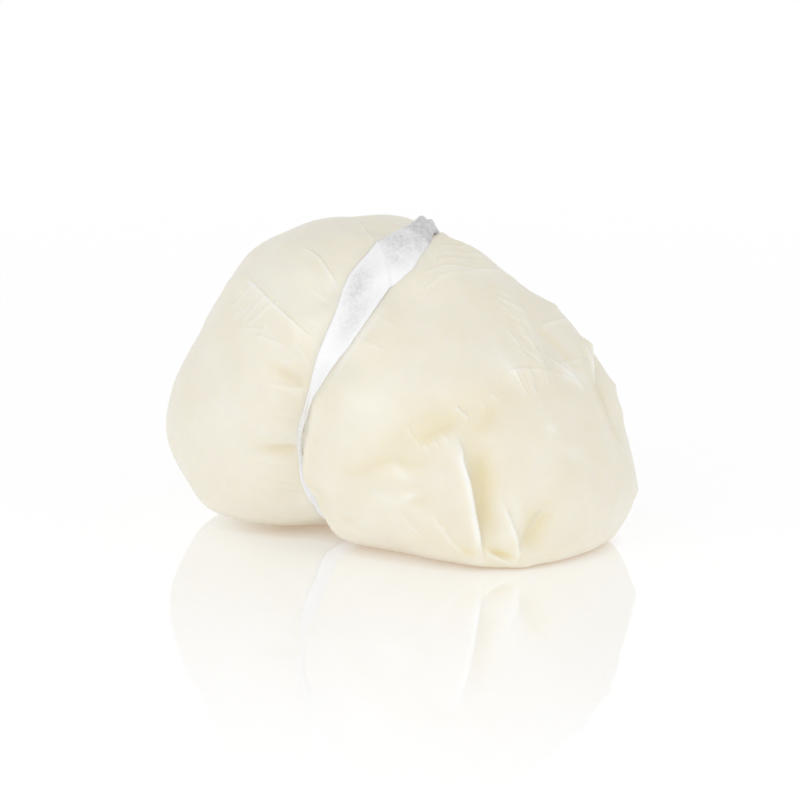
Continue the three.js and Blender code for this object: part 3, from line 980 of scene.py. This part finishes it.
def ribbon_material(settings, film):
    material, tree, shader = new_material("ribbon_satin")
    link = tree.links.new
    damp = add(tree, "ShaderNodeAttribute", attribute_name="damp")
    along = add(tree, "ShaderNodeAttribute", attribute_name="along")
    across = add(tree, "ShaderNodeAttribute", attribute_name="across")
    place = add(tree, "ShaderNodeCombineXYZ")
    link(along.outputs["Fac"], place.inputs["X"])
    link(across.outputs["Fac"], place.inputs["Y"])
    weave = add(tree, "ShaderNodeTexWave", bands_direction="X", Scale=0.5, Distortion=0.4)
    link(place.outputs["Vector"], weave.inputs["Vector"])
    skin = use_group(tree, film, Wrinkle_Scale=600.0, Speck_Scale=1100.0)
    specks = add(tree, "ShaderNodeMapRange", From_Min=0.42, From_Max=0.6)
    link(skin.outputs["Specks"], specks.inputs["Value"])
    wet = add(tree, "ShaderNodeMath", operation="MULTIPLY")
    link(damp.outputs["Fac"], wet.inputs[0])
    link(specks.outputs["Result"], wet.inputs[1])
    grey = mix_colour(tree, damp.outputs["Fac"], tuple(settings.white), tuple(settings.grey))
    specked = mix_colour(tree, wet.outputs["Value"], grey, tuple(settings.dark))
    link(specked, shader.inputs["Base Color"])
    height = add(tree, "ShaderNodeMath", operation="MULTIPLY_ADD")
    link(weave.outputs["Fac"], height.inputs[0])
    height.inputs[1].default_value = 0.5
    link(skin.outputs["Height"], height.inputs[2])
    bump = add(tree, "ShaderNodeBump", Strength=0.4, Distance=0.00015)
    link(height.outputs["Value"], bump.inputs["Height"])
    link(bump.outputs["Normal"], shader.inputs["Normal"])
    shader.inputs["Roughness"].default_value = 0.42
    shader.inputs["Sheen Weight"].default_value = 0.25
    shader.inputs["Coat Weight"].default_value = 0.2
    shader.inputs["Coat Roughness"].default_value = 0.2
    return material


# The warm shadow painted into the floor's glow where something is within reach of it, and the stretch
# along X, in metres, over which that painted shadow sets in.
CONTACT_SHADE = (0.66, 0.52, 0.40)
CONTACT_REACH = 0.008
CONTACT_FULL = 0.5
CONTACT_START = (-0.042, -0.022)
# The stretch along Y over which the floor's gloss sets in, away from the viewer, and its gain there.
GLOSS_START = (-0.19, -0.04)
GLOSS_GAIN = 1.75


def floor_material(settings):
    """A bright white floor with a clear gloss, which dulls towards the viewer, and a warm shadow
    painted into its glow near the cheese.
    """
    material, tree, plain = new_material("floor_white")
    tree.nodes.remove(plain)
    link = tree.links.new
    white = (settings.paint, settings.paint, settings.paint, 1.0)
    glow = add(tree, "ShaderNodeEmission", Strength=settings.glow)
    matt = add(tree, "ShaderNodeBsdfDiffuse", Color=white)
    base = add(tree, "ShaderNodeAddShader")
    link(glow.outputs["Emission"], base.inputs[0])
    link(matt.outputs["BSDF"], base.inputs[1])

    place = add(tree, "ShaderNodeTexCoord")
    split_place = add(tree, "ShaderNodeSeparateXYZ")
    link(place.outputs["Object"], split_place.inputs["Vector"])
    openness = add(tree, "ShaderNodeAmbientOcclusion", samples=16, Distance=CONTACT_REACH)
    lit = add(tree, "ShaderNodeMapRange", From_Min=0.0, From_Max=CONTACT_FULL)
    link(openness.outputs["AO"], lit.inputs["Value"])
    start, end = CONTACT_START
    bare = add(tree, "ShaderNodeMapRange", From_Min=start, From_Max=end, To_Min=1.0, To_Max=0.0)
    link(split_place.outputs["X"], bare.inputs["Value"])
    shade = add(tree, "ShaderNodeMath", operation="MAXIMUM")
    link(lit.outputs["Result"], shade.inputs[0])
    link(bare.outputs["Result"], shade.inputs[1])
    tint = mix_colour(tree, shade.outputs["Value"], CONTACT_SHADE, (1.0, 1.0, 1.0))
    link(tint, glow.inputs["Color"])

    mirror = add(tree, "ShaderNodeBsdfGlossy", Roughness=0.015, Color=(1.0, 1.0, 1.0, 1.0))
    fresnel = add(tree, "ShaderNodeFresnel", IOR=1.5)
    near = add(tree, "ShaderNodeMapRange", interpolation_type="SMOOTHSTEP")
    names = ("From Min", "From Max", "To Min", "To Max")
    for name, value in zip(names, (*GLOSS_START, 0.0, GLOSS_GAIN)):
        near.inputs[name].default_value = value
    link(split_place.outputs["Y"], near.inputs["Value"])
    share = add(tree, "ShaderNodeMath", operation="MULTIPLY")
    link(fresnel.outputs["Fac"], share.inputs[0])
    link(near.outputs["Result"], share.inputs[1])
    mix = add(tree, "ShaderNodeMixShader")
    link(share.outputs["Value"], mix.inputs[0])
    link(base.outputs["Shader"], mix.inputs[1])
    link(mirror.outputs["BSDF"], mix.inputs[2])
    link(mix.outputs["Shader"], tree.nodes["Material Output"].inputs["Surface"])
    return material


# ---- Settings -----------------------------------------------------------------------------------
def colour(name, description, value):
    return FloatVectorProperty(
        name=name, description=description, subtype="COLOR", default=value, min=0.0, max=1.0
    )


def angle(name, description, degrees):
    value = math.radians(degrees)
    return FloatProperty(name=name, description=description, subtype="ANGLE", default=value)


def power(name, description, watts):
    return FloatProperty(name=name, description=description, unit="POWER", default=watts, min=0.0)


class CheeseSettings(bpy.types.PropertyGroup):
    """The cheese's colours and the fineness of its mesh"""

    cream: colour("Cream", "Colour of the curd", (0.83, 0.78, 0.645))
    milk: colour("Milk", "Colour of its paler blotches", (0.86, 0.825, 0.73))
    # The colour of the shade painted deep in the folds.
    fold_shade: colour("Yellow", "Colour deep in the folds", (0.80, 0.69, 0.38))
    # The colour of the highlights painted on the crests and patches.
    white: colour("White", "Colour where the skin stands clear of the curd", (0.93, 0.92, 0.86))
    detail: IntProperty(
        name="Detail", description="Halvings of the skin's triangles", default=6, min=3, max=7
    )


class RibbonSettings(bpy.types.PropertyGroup):
    """The tape's thickness and colours"""

    thickness: FloatProperty(
        name="Thickness", description="Of the tape", default=0.0002, unit="LENGTH", min=0.0001
    )
    white: colour("White", "Colour of the dry tape", (0.93, 0.93, 0.94))
    grey: colour("Grey", "Colour where the skin lies tight on it", (0.68, 0.67, 0.68))
    dark: colour("Dark", "Colour of the specks there", (0.52, 0.52, 0.53))


class StageSettings(bpy.types.PropertyGroup):
    """The camera, the lights and the floor"""

    azimuth: angle("Camera azimuth", "0 looks along +Y", 20.5)
    elevation: angle("Camera elevation", "Above the floor", 11.1)
    distance: FloatProperty(
        name="Camera distance", description="From its target", default=0.5673, unit="LENGTH"
    )
    lens: FloatProperty(
        name="Lens", description="Focal length in millimetres", default=110.0, min=20.0
    )
    key: power("Key light", "Power of the front softbox", 2.65)
    fill: power("Fill light", "Power of the side softbox", 1.7)
    glow: FloatProperty(
        name="Floor glow", description="How bright the floor itself is", default=0.63, min=0.0
    )
    paint: FloatProperty(
        name="Floor paint", description="How white its matt paint is", default=0.45, min=0.0, max=1.0
    )


# ---- Pieces -------------------------------------------------------------------------------------
def film():
    """The shared node group, made once."""
    return bpy.data.node_groups.get("tight_skin") or film_group()


class SCAMORZA_OT_cheese(bpy.types.Operator):
    """Makes the cheese: two lobes with their waist, folds and creases"""

    bl_idname = "scamorza.make_cheese"
    bl_label = "Cheese"

    def execute(self, context):
        settings = context.scene.scamorza_cheese
        bundles = bundled_creases()
        lines = [*CREASES, *bundles, *stray_creases(), *waist_creases()]
        ledges = [*LEDGES]
        for rise, drop, path in lines:
            ledges.append((CREASE_HEIGHT * rise, drop, CREASE_SPREAD * drop, path))
        sharpest = [*bundles, *CREASES, *((rise, drop, path) for rise, drop, _, path in LEDGES)]
        d, faces = skin_directions(settings.detail, lines, sharpest)
        points, painted_shade, painted_highlight_and_gloss = finished_skin(d, ledges)
        item = make_object("cheese_body", points, faces, {"painted_shade": painted_shade, "painted_highlight_and_gloss": painted_highlight_and_gloss})
        item.data.materials.append(cheese_material(settings, film()))
        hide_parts("cheese")
        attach(item, "root")
        return {"FINISHED"}


class SCAMORZA_OT_ribbon(bpy.types.Operator):
    """Makes the ribbon: a tape round the waist, folded over at the shoulder and bunched up on top"""

    bl_idname = "scamorza.make_ribbon"
    bl_label = "Ribbon"

    def execute(self, context):
        settings = context.scene.scamorza_ribbon
        thickness = settings.thickness / MM
        outer, inner, turn, side, along, across = tape_points(TAPE_COLUMNS, TAPE_ROWS, thickness)
        section = np.concatenate((outer, inner[:, ::-1]), axis=1)
        values = {"damp": tape_grey(turn, side), "along": along, "across": across}
        for name, face in values.items():
            values[name] = np.concatenate((face, face[:, ::-1]), axis=1)
        faces = tape_faces(TAPE_COLUMNS, section.shape[1])
        item = make_object("ribbon_tape", section.reshape(-1, 3), faces, values)
        item.data.materials.append(ribbon_material(settings, film()))
        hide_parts("ribbon")
        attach(item, "root")
        return {"FINISHED"}


# ---- Stage --------------------------------------------------------------------------------------
# What the camera aims at: metres to the right of the origin and above the floor.
AIM_ASIDE = 0.0019
AIM_HEIGHT = 0.0311
SENSOR_WIDTH = 36.0
# The softboxes, in metres: where they stand and how wide they are.
KEY_BOX = ((-0.3, -0.95, 0.5), 0.9)
FILL_BOX = ((0.95, -0.3, 0.35), 0.8)
LIT_HEIGHT = 0.03
FLOOR_HALF_MM = 40000.0
# The white surroundings' strength where they light matt surfaces.
AMBIENT = 0.68


def aim(item, place, target):
    item.location = place
    item.rotation_euler = (Vector(target) - Vector(place)).to_track_quat("-Z", "Y").to_euler()


def camera_axes(settings):
    a, e = settings.azimuth, settings.elevation
    back = Vector((math.sin(a) * math.cos(e), -math.cos(a) * math.cos(e), math.sin(e)))
    return back, Vector((math.cos(a), math.sin(a), 0.0))


def add_camera(settings):
    camera = bpy.data.objects.new("camera", bpy.data.cameras.new("camera"))
    bpy.context.scene.collection.objects.link(camera)
    back, right = camera_axes(settings)
    target = right * AIM_ASIDE + Vector((0.0, 0.0, AIM_HEIGHT))
    aim(camera, target + back * settings.distance, target)
    camera.data.lens = settings.lens
    camera.data.sensor_width = SENSOR_WIDTH
    bpy.context.scene.camera = camera


def add_softbox(name, place, across, power):
    light = bpy.data.objects.new(name, bpy.data.lights.new(name, "AREA"))
    bpy.context.scene.collection.objects.link(light)
    light.data.shape = "DISK"
    light.data.size = across
    light.data.energy = power
    aim(light, place, (0.0, 0.0, LIT_HEIGHT))
    return light


def add_world():
    """White where it is seen or mirrored, and softer as a light."""
    world = bpy.data.worlds.new("studio")
    bpy.context.scene.world = world
    world.use_nodes = True
    tree = world.node_tree
    path = add(tree, "ShaderNodeLightPath")
    strength = add(tree, "ShaderNodeMapRange", To_Min=1.0, To_Max=AMBIENT)
    tree.links.new(path.outputs["Is Diffuse Ray"], strength.inputs["Value"])
    background = tree.nodes["Background"]
    background.inputs["Color"].default_value = (1.0, 1.0, 1.0, 1.0)
    tree.links.new(strength.outputs["Result"], background.inputs["Strength"])


class SCAMORZA_OT_stage(bpy.types.Operator):
    """Makes the floor, the studio light and the camera"""

    bl_idname = "scamorza.make_stage"
    bl_label = "Stage"

    def execute(self, context):
        settings = context.scene.scamorza_stage
        half = FLOOR_HALF_MM
        corners = [(-half, -half, 0.0), (half, -half, 0.0), (half, half, 0.0), (-half, half, 0.0)]
        floor = make_object("floor", corners, [(0, 1, 2, 3)])
        floor.data.materials.append(floor_material(settings))
        add_world()
        add_softbox("key", *KEY_BOX, settings.key)
        fill = add_softbox("fill", *FILL_BOX, settings.fill)
        fill.visible_glossy = False
        add_camera(settings)
        context.scene.view_settings.view_transform = "Standard"
        return {"FINISHED"}


class SCAMORZA_PT_sidebar(bpy.types.Panel):
    """Lists the pieces and their settings"""

    bl_idname = "SCAMORZA_PT_sidebar"
    bl_label = "Scamorza"
    bl_space_type = "VIEW_3D"
    bl_region_type = "UI"
    bl_category = "Scamorza"

    def draw(self, context):
        for group, operator in (
            ("scamorza_cheese", SCAMORZA_OT_cheese),
            ("scamorza_ribbon", SCAMORZA_OT_ribbon),
            ("scamorza_stage", SCAMORZA_OT_stage),
        ):
            box = self.layout.box()
            box.operator(operator.bl_idname)
            settings = getattr(context.scene, group)
            for name in settings.__annotations__:
                box.prop(settings, name)


CLASSES = (
    CheeseSettings,
    RibbonSettings,
    StageSettings,
    SCAMORZA_OT_cheese,
    SCAMORZA_OT_ribbon,
    SCAMORZA_OT_stage,
    SCAMORZA_PT_sidebar,
)


def register():
    for item in CLASSES:
        bpy.utils.register_class(item)
    bpy.types.Scene.scamorza_cheese = PointerProperty(type=CheeseSettings)
    bpy.types.Scene.scamorza_ribbon = PointerProperty(type=RibbonSettings)
    bpy.types.Scene.scamorza_stage = PointerProperty(type=StageSettings)


def unregister():
    for name in ("scamorza_cheese", "scamorza_ribbon", "scamorza_stage"):
        delattr(bpy.types.Scene, name)
    for item in reversed(CLASSES):
        bpy.utils.unregister_class(item)


def main():
    register()
    bpy.ops.scamorza.make_stage()
    bpy.ops.scamorza.make_cheese()
    bpy.ops.scamorza.make_ribbon()


if __name__ == "__main__":
    main()
